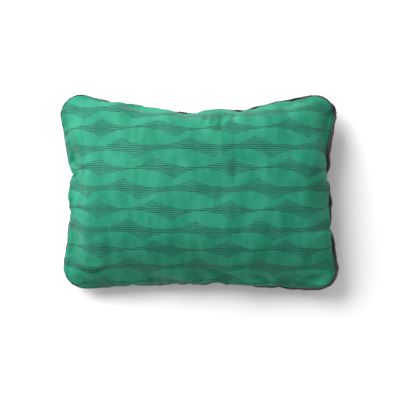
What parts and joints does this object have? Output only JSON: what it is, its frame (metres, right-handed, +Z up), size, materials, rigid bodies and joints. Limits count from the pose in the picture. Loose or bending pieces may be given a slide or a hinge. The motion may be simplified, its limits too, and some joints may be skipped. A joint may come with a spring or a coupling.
{
  "type": "camp pillow",
  "caption": "Soft rectangular camping pillow with a printed front, a plain dark back with a stow pocket, and loose foam filling.",
  "frame": {"origin": "on the surface that the pillow rests on, under the middle of its outline", "axes": "+X along the pillow's width; +Y across its depth, towards the more hollow long edge; +Z up, out of the printed front"},
  "size_m": [0.46, 0.322, 0.112],
  "materials": {
    "printed_front": "brushed soft-touch woven polyester, green with a tone-on-tone print of fine hatched ridges",
    "dark_back": "plain charcoal woven polyester, slight sheen",
    "elastic_binding": "black ribbed elastic tape",
    "thread": "dark spun polyester sewing thread",
    "foam": "open-cell shredded foam, cream"
  },
  "bodies": {
    "root": {"front_panel": "printed_front", "back_panel": "dark_back", "stow_pocket": "dark_back", "pocket_binding": "elastic_binding", "binding_stitches": "thread", "seam_overlock": "thread", "foam_large": "foam", "foam_medium": "foam", "foam_crumbs": "foam"}
  },
  "joints": []
}
